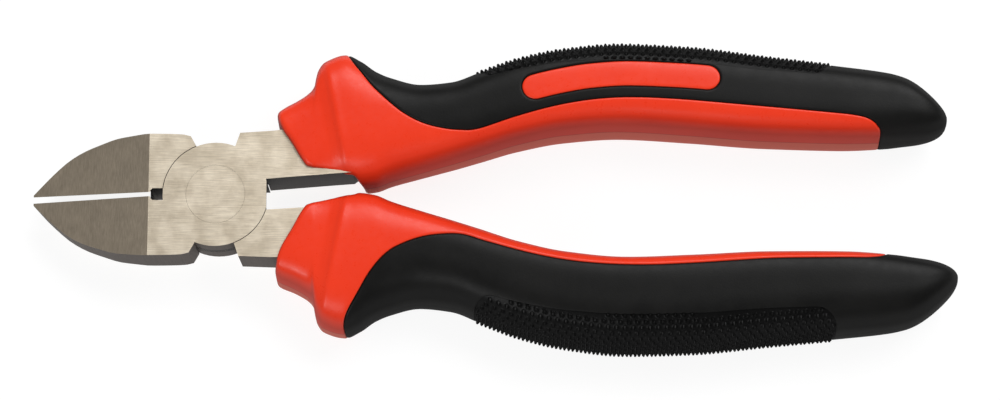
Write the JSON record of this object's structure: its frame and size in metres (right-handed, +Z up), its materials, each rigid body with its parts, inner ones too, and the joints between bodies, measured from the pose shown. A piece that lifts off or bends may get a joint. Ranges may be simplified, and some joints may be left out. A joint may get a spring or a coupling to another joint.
{
  "type": "diagonal cutting pliers",
  "caption": "Hand tool with two riveted steel halves, sloping cutting jaws and curved soft-grip handles, for cutting wire.",
  "frame": {"origin": "middle of the rivet's lower face, on the joint's pivot axis", "axes": "+X from the joint to the handle ends, cutting tips at -X; +Z up through the joint along the pivot axis; +Y across the tool"},
  "size_m": [0.1595, 0.0542, 0.0146],
  "materials": {
    "forged_steel": "ground with fine streaks along the tool, thin oil film",
    "rivet_steel": "ground flush with the joint",
    "red_plastic": "satin gloss, moulded",
    "black_rubber": "fine matt soft-touch skin",
    "pad_rubber": "matt, with rows of small raised points"
  },
  "bodies": {
    "left_side": {"left_half": "forged_steel", "left_grip_sleeve": "red_plastic", "left_grip_shell": "black_rubber", "left_grip_pad": "pad_rubber"},
    "right_side": {"right_half": "forged_steel", "right_grip_sleeve": "red_plastic", "right_grip_shell": "black_rubber", "right_grip_pad": "pad_rubber", "pivot_rivet": "rivet_steel"}
  },
  "joints": [
    {"name": "jaw_opening", "type": "hinge", "parent": "left_side", "child": "right_side", "pos_m": [0, 0, 0.005], "axis": [0, 0, 1], "range_deg": [-1.8, 38]}
  ]
}
